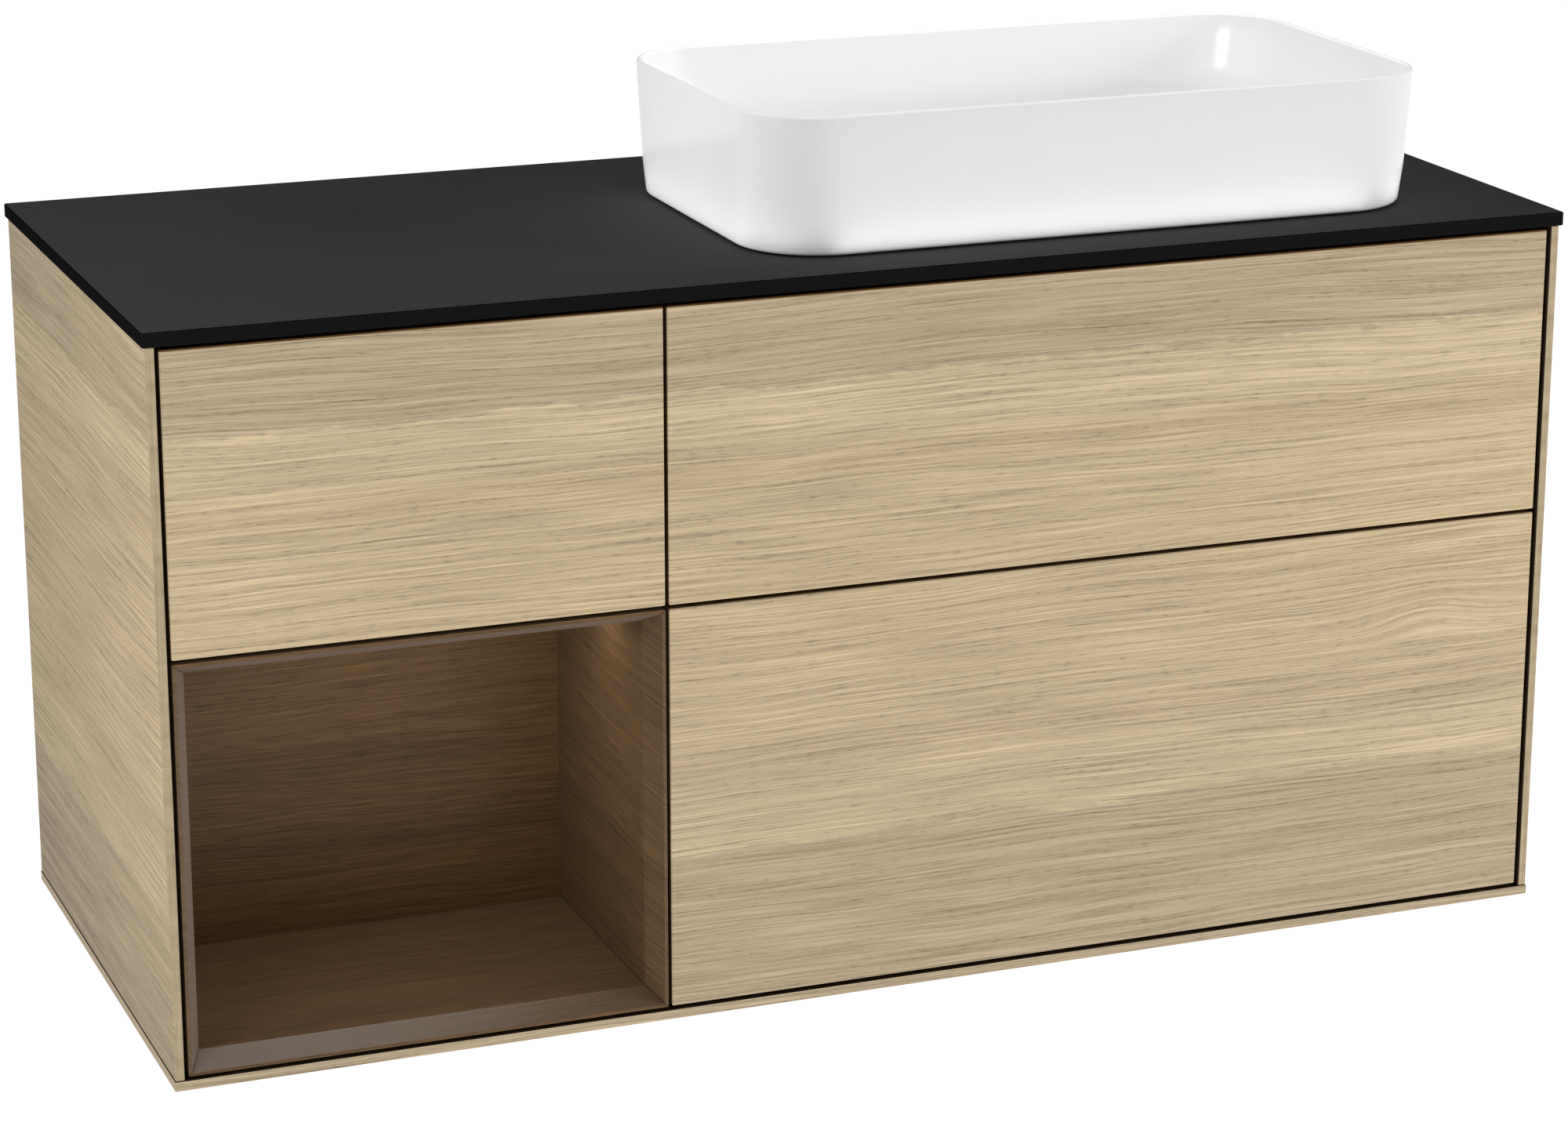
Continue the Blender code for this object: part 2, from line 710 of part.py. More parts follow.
def waste_tailpiece():
    top = TUBE_END - TOUCH
    profile = [
        (0.017, top), (0.025, top), (0.025, top - 0.014), (TAIL_RADIUS, top - 0.018),
        (TAIL_RADIUS, TAIL_END), (TAIL_BORE, TAIL_END), (TAIL_BORE, top - 0.014), (0.017, top - 0.010)]
    return turned("waste_tailpiece", profile, plastic(), over_drain(), True)


def trap_cup():
    """Bottle trap, open at its neck, with the stub that feeds the outlet pipe."""
    low = 0.410
    skin = 0.003
    neck = 0.024
    neck_bore = 0.017
    profile = [
        (0.0, low + skin), (CUP_RADIUS - 0.006, low + skin + 0.002),
        (CUP_RADIUS - skin, low + 0.014), (CUP_RADIUS - skin, CUP_TOP - 0.013),
        (neck_bore, CUP_TOP - 0.009), (neck_bore, CUP_TOP), (neck, CUP_TOP),
        (neck, CUP_TOP - 0.008), (CUP_RADIUS, CUP_TOP - 0.012), (CUP_RADIUS, low + 0.012),
        (CUP_RADIUS - 0.005, low + 0.002), (0.0, low)]
    piece = turned("trap_cup", profile, plastic(), over_drain(), False)
    start = CUP_RADIUS - 0.0015
    stub = Matrix.Translation((BASIN_X, BASIN_Y + (start + BOSS_REACH) / 2, TRAP_OUTLET_Z))
    turn = Matrix.Rotation(math.pi / 2, 4, "X")
    return combine(
        piece, cutter_cylinder("outlet_stub", BOSS_RADIUS, BOSS_REACH - start, stub @ turn), "UNION")


def facing_wall(middle_y):
    """The turned piece's own +Z points to the wall."""
    turn = Matrix.Rotation(-math.pi / 2, 4, "X")
    return Matrix.Translation((BASIN_X, middle_y, TRAP_OUTLET_Z)) @ turn


def trap_outlet():
    start = BASIN_Y + BOSS_REACH + TOUCH
    length = WALL - 0.0005 - start
    collar = 0.0215
    profile = [
        (TAIL_BORE, length), (TAIL_RADIUS, length), (TAIL_RADIUS, 0.024), (collar, 0.020),
        (collar, 0.0), (TAIL_BORE, 0.0)]
    turned("trap_outlet_pipe", profile, plastic(), facing_wall(start), True)
    bore = TAIL_RADIUS + 0.0005
    plate = 0.034
    rosette = [
        (bore, 0.009), (plate, 0.009), (plate, 0.0078), (plate - 0.006, 0.0030),
        (bore + 0.004, 0.0), (bore, 0.0)]
    turned("wall_rosette", rosette, chrome(), facing_wall(WALL - 0.0005 - 0.009), True)


def basin_group():
    glass_top()
    basin_seal()
    basin()
    waste_flange()
    waste_plug()
    waste_washer()
    low = UNDER_TOP - 2 * TOUCH - WASHER - 0.013
    waste_nut(
        "waste_locknut", TUBE_RADIUS + 0.0004, NUT_RADIUS, low, UNDER_TOP - 2 * TOUCH - WASHER, 8)
    waste_tailpiece()
    waste_nut("trap_nut", TAIL_RADIUS + 0.0004, 0.030, CUP_TOP + TOUCH, CUP_TOP + 0.019, 8)
    trap_cup()
    trap_outlet()


# ---------------------------------------------------------------- drawers
BOX_FRONT_Y = FACE_Y + FRONT_THICKNESS + TOUCH
BOX_END_Y = BOX_FRONT_Y + BOX_LENGTH
RAIL_START = CARCASS_Y + 0.002
RAIL_LENGTH = 0.450
GROOVE_WIDTH = 0.010
GROOVE_DEPTH = 0.007
MID_WIDTH = 0.008
MID_RISE = 0.0060           # middle rail above the cabinet rail
BOX_RISE = 0.014            # drawer side above the runner's underside
CHANNEL_MIDDLE = TOUCH + RUNNER_WIDTH / 2


def mirrored(outline, wall, side, base):
    """Places an outline drawn as (distance from the cabinet wall, height)."""
    return [(wall + side * distance, base + height) for distance, height in outline]


def runner(drawer, label, wall, side, base):
    """Cabinet rail, an open channel, and the middle rail that slides in it."""
    near = TOUCH
    far = TOUCH + RUNNER_WIDTH
    channel = [
        (near, 0.0), (far, 0.0), (far, RUNNER_CHANNEL), (far - STEEL, RUNNER_CHANNEL),
        (far - STEEL, STEEL), (near + STEEL, STEEL), (near + STEEL, RUNNER_CHANNEL),
        (near, RUNNER_CHANNEL)]
    middle_y = RAIL_START + RAIL_LENGTH / 2
    extruded(
        f"{drawer}_cabinet_rail_{label}", [mirrored(channel, wall, side, base)], RAIL_LENGTH,
        steel(), along_depth(middle_y))
    left = CHANNEL_MIDDLE - MID_WIDTH / 2
    right = CHANNEL_MIDDLE + MID_WIDTH / 2
    low = STEEL + 0.0006
    high = RUNNER_CHANNEL + MID_RISE
    hat = [
        (left, low), (left + STEEL, low), (left + STEEL, high - STEEL),
        (right - STEEL, high - STEEL), (right - STEEL, low), (right, low), (right, high),
        (left, high)]
    extruded(
        f"{drawer}_middle_rail_{label}", [mirrored(hat, wall, side, base)], RAIL_LENGTH,
        steel(), along_depth(middle_y))


def drawer_side(drawer, label, wall, side, base, height):
    """Metal side wall with a groove underneath that rides on the middle rail."""
    low = BOX_RISE
    high = BOX_RISE + height
    near = SIDE_START
    far = SIDE_START + SIDE_THICKNESS
    groove_left = CHANNEL_MIDDLE - GROOVE_WIDTH / 2
    groove_right = CHANNEL_MIDDLE + GROOVE_WIDTH / 2
    outline = [
        (near, low), (groove_left, low), (groove_left, low + GROOVE_DEPTH),
        (groove_right, low + GROOVE_DEPTH), (groove_right, low), (far, low), (far, high),
        (near, high)]
    return extruded(
        f"{drawer}_side_{label}", [mirrored(outline, wall, side, base)], BOX_LENGTH,
        drawer_metal(), along_depth((BOX_FRONT_Y + BOX_END_Y) / 2), 0.0003)


def drawer_sides(drawer, left_wall, right_wall, base, height):
    for label, wall, side in (("left", left_wall, 1), ("right", right_wall, -1)):
        runner(drawer, label, wall, side, base)
        drawer_side(drawer, label, wall, side, base, height)


def drawer_front(drawer, low, high):
    return board(
        f"{drawer}_front", (low[0], FACE_Y, low[1]),
        (high[0], FACE_Y + FRONT_THICKNESS, high[1]), oak(), FRONT_EASE)


def plain_box(drawer, left_wall, right_wall, base, height):
    """Bottom and back of a drawer that has no cut-out."""
    reach = SIDE_START + SIDE_THICKNESS + TOUCH
    low_x = left_wall + reach
    high_x = right_wall - reach
    floor_z = base + BOX_RISE + 0.001
    board(
        f"{drawer}_bottom", (low_x, BOX_FRONT_Y, floor_z),
        (high_x, BOX_END_Y, floor_z + BOX_BOTTOM), carcass_board())
    board(
        f"{drawer}_back", (low_x, BOX_END_Y - BOX_BACK, floor_z + BOX_BOTTOM + TOUCH),
        (high_x, BOX_END_Y, base + BOX_RISE + height), carcass_board())


def cut_out(margin, back):
    """Corner-rounded path of the siphon cut-out, from its right end to its left."""
    half = RECESS_HALF + margin
    reach = BASIN_Y - RECESS_REACH - margin
    radius = RECESS_CORNER + margin
    right = BASIN_X + half
    left = BASIN_X - half
    return [
        (right, back), *arc((right - radius, reach + radius), radius, 0, -90, 5),
        *arc((left + radius, reach + radius), radius, -90, -180, 5), (left, back)]


def basin_drawer_box(drawer, left_wall, right_wall, base, height):
    """Bottom, split back and curved guard that leave room for the trap."""
    reach = SIDE_START + SIDE_THICKNESS + TOUCH
    low_x = left_wall + reach
    high_x = right_wall - reach
    floor_z = base + BOX_RISE + 0.001
    top_z = base + BOX_RISE + height
    outline = [(low_x, BOX_END_Y), (low_x, BOX_FRONT_Y), (high_x, BOX_FRONT_Y), (high_x, BOX_END_Y)]
    extruded(
        f"{drawer}_bottom", [outline + cut_out(0.0, BOX_END_Y)], BOX_BOTTOM, carcass_board(),
        upright(floor_z + BOX_BOTTOM / 2))
    guard_low = floor_z + BOX_BOTTOM + TOUCH
    inner = cut_out(0.001, BOX_END_Y)
    outer = cut_out(0.001 + RECESS_WALL, BOX_END_Y)
    extruded(
        f"{drawer}_siphon_guard", [inner + outer[::-1]], top_z - guard_low, drawer_metal(),
        upright((guard_low + top_z) / 2))
    guard = RECESS_HALF + 0.001 + RECESS_WALL + TOUCH
    for label, start, end in (
            ("left", low_x, BASIN_X - guard), ("right", BASIN_X + guard, high_x)):
        board(
            f"{drawer}_back_{label}", (start, BOX_END_Y - BOX_BACK, guard_low),
            (end, BOX_END_Y, top_z), carcass_board())


def drawers():
    half_joint = JOINT_SIDE / 2
    left_end = JOINT_X - half_joint
    right_start = JOINT_X + half_joint
    upper_low = SPLIT_Z + half_joint
    lower_high = SPLIT_Z - half_joint
    drawer_front("upper_left", (FRONTS_LEFT, upper_low), (left_end, FRONTS_TOP))
    drawer_front("upper_right", (right_start, upper_low), (FRONTS_RIGHT, FRONTS_TOP))
    drawer_front("lower_right", (right_start, FRONTS_BOTTOM), (FRONTS_RIGHT, lower_high))
    left_column = (INNER_LEFT, PARTITION_LEFT)
    right_column = (PARTITION_RIGHT, INNER_RIGHT)
    for drawer, column, base, height in (
            ("upper_left", left_column, UPPER_RUNNER_Z, UPPER_SIDE_HEIGHT),
            ("upper_right", right_column, UPPER_RUNNER_Z, UPPER_SIDE_HEIGHT),
            ("lower_right", right_column, LOWER_RUNNER_Z, LOWER_SIDE_HEIGHT)):
        drawer_sides(drawer, *column, base, height)
        if drawer == "upper_right":
            basin_drawer_box(drawer, *column, base, height)
        else:
            plain_box(drawer, *column, base, height)


clear_scene()
PARTS = new_collection(NAME)
CUTTERS = new_collection("cutters")
carcass()
niche()
basin_group()
drawers()
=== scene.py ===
import bpy
import bmesh
import json
import math
from mathutils import Matrix, Vector


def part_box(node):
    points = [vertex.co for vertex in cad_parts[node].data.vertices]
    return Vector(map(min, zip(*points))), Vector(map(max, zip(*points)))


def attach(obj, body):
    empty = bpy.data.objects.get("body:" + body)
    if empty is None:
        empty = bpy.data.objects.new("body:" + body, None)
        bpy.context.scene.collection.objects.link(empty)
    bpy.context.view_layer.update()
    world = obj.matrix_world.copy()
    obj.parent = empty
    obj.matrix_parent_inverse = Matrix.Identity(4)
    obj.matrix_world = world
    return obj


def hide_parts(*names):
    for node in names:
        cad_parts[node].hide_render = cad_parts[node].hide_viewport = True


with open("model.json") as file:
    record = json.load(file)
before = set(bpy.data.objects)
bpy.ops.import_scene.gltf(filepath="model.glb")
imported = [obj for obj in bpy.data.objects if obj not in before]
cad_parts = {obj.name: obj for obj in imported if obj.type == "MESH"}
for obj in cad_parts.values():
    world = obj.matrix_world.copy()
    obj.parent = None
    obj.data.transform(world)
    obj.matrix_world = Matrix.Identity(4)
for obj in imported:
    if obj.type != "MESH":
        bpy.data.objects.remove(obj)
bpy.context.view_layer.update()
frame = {"nodes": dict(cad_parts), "record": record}
NODES = frame["nodes"]
SCENE = bpy.context.scene
SCENE.view_settings.view_transform = "Standard"


# ---------------------------------------------------------------- camera, floor and light
CAMERA_PLACE = (-1.27993, -3.31897, 1.34865)
CAMERA_TURN = 21.137         # degrees to the right of straight ahead
CAMERA_DIP = 16.512          # degrees below level
CAMERA_LENS = 99.82
FLOOR_LEVEL = -0.30          # the cabinet hangs clear of the floor
STRIP_LIFT = 0.0005          # light strips lie this far above the glass
STRIP_WIDTH = 0.033
UPWARD = (math.pi, 0.0, 0.0)


def make_camera():
    data = bpy.data.cameras.new("camera")
    data.lens = CAMERA_LENS
    data.sensor_width = 36.0
    data.clip_end = 200.0
    camera = bpy.data.objects.new("camera", data)
    camera.location = CAMERA_PLACE
    camera.rotation_euler = (math.radians(90 - CAMERA_DIP), 0.0, -math.radians(CAMERA_TURN))
    SCENE.collection.objects.link(camera)
    SCENE.camera = camera


def area_light(name, place, target, size, power, colour=(1.0, 1.0, 1.0), size_y=None):
    data = bpy.data.lights.new(name, "AREA")
    data.energy = power
    data.color = colour
    data.size = size
    if size_y:
        data.shape = "RECTANGLE"
        data.size_y = size_y
    light = bpy.data.objects.new(name, data)
    light.location = place
    aim = Vector(target) - Vector(place)
    light.rotation_euler = aim.to_track_quat("-Z", "Y").to_euler()
    SCENE.collection.objects.link(light)
    return light


def only_on(light, pieces):
    """This light reaches, and is shaded by, only these pieces, and is not mirrored in them."""
    group = bpy.data.collections.new(light.name + "_pieces")
    for piece in pieces:
        group.objects.link(piece)
    light.light_linking.receiver_collection = group
    light.light_linking.blocker_collection = group
    light.visible_camera = False
    light.visible_glossy = False


def light_strip(name, x, y, level, length, breadth, power, turn=0.0):
    """A strip lying just above the glass and shining up at the basin's foot."""
    place = (x, y, level + STRIP_LIFT)
    strip = area_light(name, place, (x, y, level + 1.0), length, power, size_y=breadth)
    strip.rotation_euler = (UPWARD[0], UPWARD[1], turn)
    return strip


def make_basin_light(basin):
    """Soft light that lifts the white glaze off the black top."""
    low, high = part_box("basin")
    middle = (low + high) / 2
    beside, at_corner = 0.0185, 0.0062
    front = light_strip("basin_front", middle.x, low.y - beside, low.z, 0.48, STRIP_WIDTH, 0.104)
    foot = light_strip("basin_foot", low.x - beside, middle.y, low.z, STRIP_WIDTH, 0.26, 0.036)
    corner = light_strip(
        "basin_corner", low.x + at_corner, low.y + at_corner, low.z, 0.105, STRIP_WIDTH, 0.0150, -math.pi / 4)
    far = light_strip(
        "basin_far", high.x - at_corner, low.y + at_corner, low.z, 0.085, STRIP_WIDTH, 0.020, math.pi / 4)
    left = area_light(
        "basin_left", (low.x - 0.30, middle.y, low.z + 0.03), (low.x, middle.y, low.z + 0.03),
        0.40, 0.90, size_y=0.16)
    above = area_light("basin_above", (middle.x, middle.y, 2.0), middle, 0.9, 16.5)
    for light in (front, foot, corner, far, left, above):
        only_on(light, [basin])
    shine = Vector((0.4733, 0.1267, 0.700))
    toward = Vector((-0.628, -0.571, 0.528))
    window = area_light("basin_window", shine + 0.9 * toward, shine, 0.30, 3.4, size_y=0.024)
    window.data.shape = "ELLIPSE"
    only_on(window, [basin])
    window.visible_glossy = True
    window.visible_diffuse = False


def make_niche_light():
    """The light under the niche's opal cover."""
    low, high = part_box("light_cover")
    middle = (low + high) / 2
    below = (middle.x, middle.y, low.z - 0.001)
    area_light(
        "niche_light", below, (middle.x, middle.y, 0.0), high.x - low.x, 0.280,
        (1.0, 0.97, 0.88), size_y=high.y - low.y)


def make_studio():
    world = bpy.data.worlds.new("studio")
    world.use_nodes = True
    world.node_tree.nodes["Background"].inputs["Color"].default_value = (1.0, 1.0, 1.0, 1.0)
    world.node_tree.nodes["Background"].inputs["Strength"].default_value = 0.26
    SCENE.world = world
    area_light("key_left", (-1.5, -0.9, 0.7), (-0.6, -0.1, 0.35), 0.8, 5.0)
    area_light("key_right", (2.6, -1.6, 1.0), (0.2, 0.0, 0.4), 1.2, 34.0)

    mesh = bpy.data.meshes.new("floor")
    shape = bmesh.new()
    bmesh.ops.create_grid(shape, x_segments=1, y_segments=1, size=60.0)
    shape.to_mesh(mesh)
    shape.free()
    floor = bpy.data.objects.new("floor", mesh)
    floor.location = (0.0, 0.0, FLOOR_LEVEL)
    material = bpy.data.materials.new("floor_paint")
    material.use_nodes = True
    shader = material.node_tree.nodes["Principled BSDF"]
    shader.inputs["Base Color"].default_value = (0.86, 0.86, 0.86, 1.0)
    shader.inputs["Roughness"].default_value = 0.9
    shader.inputs["Specular IOR Level"].default_value = 0.0
    shader.inputs["Emission Color"].default_value = (1.0, 1.0, 1.0, 1.0)
    shader.inputs["Emission Strength"].default_value = 0.80
    mesh.materials.append(material)
    SCENE.collection.objects.link(floor)


# ---------------------------------------------------------------- material wiring
def linear(red, green, blue):
    """Screen colour 0-255 to scene colour."""
    def channel(value):
        value /= 255.0
        return value / 12.92 if value <= 0.04045 else ((value + 0.055) / 1.055) ** 2.4
    return (channel(red), channel(green), channel(blue), 1.0)


class Wiring:
    """A new material and short ways of adding nodes to it."""

    def __init__(self, name, roughness=0.5, metallic=0.0, specular=0.5):
        self.material = bpy.data.materials.new(name)
        self.material.use_nodes = True
        self.tree = self.material.node_tree
        self.shader = self.tree.nodes["Principled BSDF"]
        self.shader.inputs["Roughness"].default_value = roughness
        self.shader.inputs["Metallic"].default_value = metallic
        self.shader.inputs["Specular IOR Level"].default_value = specular
        self.texture = self.node("ShaderNodeTexCoord")
        self.place = self.texture.outputs["Object"]
        self.facing = self.texture.outputs["Normal"]

    def node(self, kind, **settings):
        made = self.tree.nodes.new(kind)
        for key, value in settings.items():
            setattr(made, key, value)
        return made

    def plug(self, socket, value):
        if isinstance(value, bpy.types.NodeSocket):
            self.tree.links.new(value, socket)
        elif value is not None:
            socket.default_value = value

    def math(self, operation, first, second=None, third=None):
        made = self.node("ShaderNodeMath", operation=operation)
        for socket, value in zip(made.inputs, (first, second, third)):
            self.plug(socket, value)
        return made.outputs[0]

    def split(self, vector):
        made = self.node("ShaderNodeSeparateXYZ")
        self.plug(made.inputs[0], vector)
        return made.outputs

    def join(self, x, y, z=0.0):
        made = self.node("ShaderNodeCombineXYZ")
        for socket, value in zip(made.inputs, (x, y, z)):
            self.plug(socket, value)
        return made.outputs[0]

    def noise(self, vector, scale=1.0, detail=2.0, roughness=0.5, distortion=0.0):
        made = self.node("ShaderNodeTexNoise")
        self.plug(made.inputs["Vector"], vector)
        made.inputs["Scale"].default_value = scale
        made.inputs["Detail"].default_value = detail
        made.inputs["Roughness"].default_value = roughness
        made.inputs["Distortion"].default_value = distortion
        return made.outputs["Fac"]

    def stretch(self, x, y, scale_x, scale_y, offset=0.0):
        """A plane of coordinates with its own scale each way."""
        return self.join(
            self.math("MULTIPLY", x, scale_x), self.math("MULTIPLY", y, scale_y), offset)

    def span(self, value, low, high, out_low=0.0, out_high=1.0, smooth=False):
        made = self.node(
            "ShaderNodeMapRange", interpolation_type="SMOOTHSTEP" if smooth else "LINEAR")
        for socket, setting in zip(made.inputs, (value, low, high, out_low, out_high)):
            self.plug(socket, setting)
        return made.outputs[0]

    def ramp(self, value, stops, interpolation="LINEAR"):
        made = self.node("ShaderNodeValToRGB")
        made.color_ramp.interpolation = interpolation
        elements = made.color_ramp.elements
        while len(elements) > 1:
            elements.remove(elements[-1])
        elements[0].position, elements[0].color = stops[0]
        for position, colour in stops[1:]:
            elements.new(position).color = colour
        self.plug(made.inputs[0], value)
        return made.outputs["Color"]

    def colour(self, value):
        self.plug(self.shader.inputs["Base Color"], value)

    def rough(self, value):
        self.plug(self.shader.inputs["Roughness"], value)

    def bump(self, height, strength, distance=0.0003):
        made = self.node("ShaderNodeBump")
        made.inputs["Strength"].default_value = strength
        made.inputs["Distance"].default_value = distance
        self.plug(made.inputs["Height"], height)
        self.plug(self.shader.inputs["Normal"], made.outputs["Normal"])


def mix_input(node, name):
    return [socket for socket in node.inputs if socket.name == name and socket.type == "RGBA"][0]


def colour_mix(wiring, factor, first, second, blend="MIX"):
    """Mixes two colours on the colour sockets of a Mix node."""
    made = wiring.node("ShaderNodeMix", data_type="RGBA", blend_type=blend)
    wiring.plug(made.inputs[0], factor)
    wiring.plug(mix_input(made, "A"), first)
    wiring.plug(mix_input(made, "B"), second)
    return [socket for socket in made.outputs if socket.type == "RGBA"][0]


# ---------------------------------------------------------------- oak veneer
def grain_height(wiring, along, height):
    """Height above the floor after the grain's waviness and its one swirl are taken out."""
    slow = wiring.noise(wiring.stretch(along, height, 1.7, 5.0, 3.1), 1.0, 2.0, 0.5)
    wave = wiring.math("MULTIPLY", wiring.math("SUBTRACT", slow, 0.5), 0.028)
    quick = wiring.noise(wiring.stretch(along, height, 9.0, 40.0, 7.7), 1.0, 1.0, 0.5)
    ripple = wiring.math("MULTIPLY", wiring.math("SUBTRACT", quick, 0.5), 0.0042)
    across = wiring.math("DIVIDE", wiring.math("SUBTRACT", along, 0.488), 0.052)
    upright = wiring.math("DIVIDE", wiring.math("SUBTRACT", height, 0.272), 0.024)
    hill = wiring.math(
        "EXPONENT", wiring.math("MULTIPLY", wiring.math("MULTIPLY", across, across), -1.0))
    reach = wiring.math(
        "EXPONENT", wiring.math("MULTIPLY", wiring.math("MULTIPLY", upright, upright), -1.0))
    swirl = wiring.math("MULTIPLY", wiring.math("MULTIPLY", hill, reach), 0.012)
    total = wiring.math("ADD", height, wave)
    total = wiring.math("ADD", total, ripple)
    return wiring.math("SUBTRACT", total, swirl)


# near-black laminate, darkened as painted shade in the gaps between parts
GAP_SHADE_LAMINATE = (0.036, 0.022, 0.012, 1.0)


def hidden_mask(wiring, hidden):
    """1 on the faces that a closed cabinet hides, 0 on those that it shows."""
    face_x, face_y, face_z = wiring.split(wiring.facing)
    x = wiring.split(wiring.place)[0]
    if hidden == "edges":
        return wiring.math("LESS_THAN", wiring.math("ABSOLUTE", face_y), 0.35)
    if hidden == "inside":
        inward = wiring.math("MULTIPLY", wiring.math("SIGN", x), face_x)
        return wiring.math("LESS_THAN", inward, -0.5)
    return wiring.math("GREATER_THAN", face_z, 0.5)


def painted_side_falloff(wiring, veneer):
    """Painted shade: the side darkens towards the wall and the floor, as the light falls off, and has a paler
    front edge.
    """
    x, y, z = wiring.split(wiring.place)
    # painted shade: darker towards the wall and towards the floor
    backward = wiring.span(y, -0.25, 0.25, 0.98, 0.81)
    downward = wiring.span(z, 0.18, 0.0, 1.0, 0.82, True)
    fall = wiring.math("MULTIPLY", backward, downward)
    cast = wiring.join(fall, wiring.math("MULTIPLY", fall, 0.97), wiring.math("MULTIPLY", fall, 0.89))
    shaded = colour_mix(wiring, 1.0, veneer, cast, "MULTIPLY")
    lines = wiring.noise(
        wiring.join(wiring.math("MULTIPLY", x, 700.0), 0.0, wiring.math("MULTIPLY", z, 14.0)), 1.0, 3.0, 0.6)
    patch = wiring.noise(wiring.join(0.0, 0.0, wiring.math("MULTIPLY", z, 60.0)), 1.0, 3.0, 0.6)
    value = wiring.math("ADD", wiring.math("MULTIPLY", lines, 0.5), wiring.math("MULTIPLY", patch, 0.5))
    edge = wiring.ramp(value, [
        (0.35, linear(154, 136, 105)), (0.5, linear(178, 160, 128)), (0.65, linear(192, 174, 143))])
    forward = wiring.math("LESS_THAN", wiring.split(wiring.facing)[1], -0.6)
    return colour_mix(wiring, forward, shaded, edge)


def oak(name, axis, hidden=None):
    """Light veneer, grain level along one axis, with a greyer band at the top and bottom.

    Of the faces that hidden picks out, a front's edges are darker oak as painted shade in the joints and the
    others near-black laminate as painted shade in the gaps; a front's top strip has a painted shadow.
    """
    wiring = Wiring(name, 0.60, 0.0, 0.12)
    x, y, z = wiring.split(wiring.place)
    along = x if axis == "X" else y
    level = grain_height(wiring, along, z)

    tone = wiring.ramp(wiring.span(z, 0.0, 0.603), [
        (0.0, linear(196, 176, 143)), (0.27, linear(197, 177, 143)),
        (0.315, linear(194, 174, 141)), (0.350, linear(190, 169, 136)),
        (0.385, linear(196, 175, 141)), (0.55, linear(196, 174, 139)),
        (0.71, linear(197, 176, 141)), (0.752, linear(192, 170, 135)),
        (0.79, linear(198, 178, 143)), (0.83, linear(200, 180, 145)), (1.0, linear(199, 178, 143))])
    edge_slow = wiring.noise(wiring.stretch(along, z, 3.3, 2.0, 11.0), 1.0, 2.0, 0.5)
    edge_quick = wiring.noise(wiring.stretch(along, z, 30.0, 150.0, 5.0), 1.0, 3.0, 0.65)
    ragged = wiring.math(
        "ADD", wiring.math("MULTIPLY", wiring.math("SUBTRACT", edge_slow, 0.5), 0.030),
        wiring.math("MULTIPLY", wiring.math("SUBTRACT", edge_quick, 0.5), 0.024))
    height = wiring.math("ADD", z, ragged)
    upper = wiring.span(height, 0.5165, 0.5200, 0.0, 1.0, True)
    lower = wiring.span(height, 0.1420, 0.1385, 0.0, 1.0, True)
    band = wiring.math("MAXIMUM", upper, lower)
    base = colour_mix(wiring, band, tone, linear(181, 162, 133))

    broad = wiring.noise(wiring.stretch(along, level, 1.8, 34.0, 1.0), 1.0, 3.0, 0.55)
    streak = wiring.noise(wiring.stretch(along, level, 3.0, 300.0, 2.0), 1.0, 3.0, 0.6)
    fine = wiring.noise(wiring.stretch(along, level, 7.0, 620.0, 4.0), 1.0, 3.0, 0.72)
    shade = wiring.math("MULTIPLY", wiring.math("SUBTRACT", broad, 0.5), 0.28)
    for layer, strength in ((streak, 0.82), (fine, 1.52)):
        part = wiring.math("MULTIPLY", wiring.math("SUBTRACT", layer, 0.5), strength)
        shade = wiring.math("ADD", shade, part)
    drift = wiring.noise(wiring.stretch(along, level, 5.0, 70.0, 9.0), 1.0, 2.0, 0.5)
    wobble = wiring.math("MULTIPLY", drift, 13.0)
    rows = wiring.math("SINE", wiring.math("ADD", wiring.math("MULTIPLY", level, 1530.0), wobble))
    shade = wiring.math("ADD", shade, wiring.math("MULTIPLY", rows, 0.034))
    pores = wiring.noise(wiring.stretch(along, level, 80.0, 700.0, 6.0), 1.0, 1.0, 0.5)
    dashes = wiring.span(pores, 0.56, 0.68, 0.0, 1.0, True)
    where = wiring.span(streak, 0.55, 0.42, 0.35, 1.0, True)
    dashes = wiring.math("MULTIPLY", dashes, where)
    level_shade = wiring.math("SUBTRACT", shade, wiring.math("MULTIPLY", dashes, 0.21))
    bright = wiring.math("ADD", 1.045, level_shade)
    grain = wiring.join(bright, bright, bright)
    final = colour_mix(wiring, 1.0, base, grain, "MULTIPLY")
    if axis == "Y":
        final = painted_side_falloff(wiring, final)
    if hidden == "edges":
        # painted shadow: a darker strip along the fronts' top edge, under the glass
        shadow = wiring.math("GREATER_THAN", z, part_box("upper_left_front")[1].z - 0.0012)
        final = colour_mix(wiring, shadow, final, linear(124, 92, 56))
    # painted shade: faces a closed cabinet hides turn near black, and a front's edges darker oak
    if hidden:
        unseen = GAP_SHADE_LAMINATE
        # a front's edges: the oak darkened as painted shade in the joints
        if hidden == "edges":
            unseen = colour_mix(wiring, 1.0, final, (0.28, 0.20, 0.13, 1.0), "MULTIPLY")
        final = colour_mix(wiring, hidden_mask(wiring, hidden), final, unseen)
    wiring.colour(final)
    wiring.rough(wiring.span(fine, 0.3, 0.7, 0.62, 0.50))
    relief = wiring.math("SUBTRACT", wiring.math("MULTIPLY", fine, 0.5), dashes)
    wiring.bump(relief, 0.25, 0.0002)
    return wiring.material


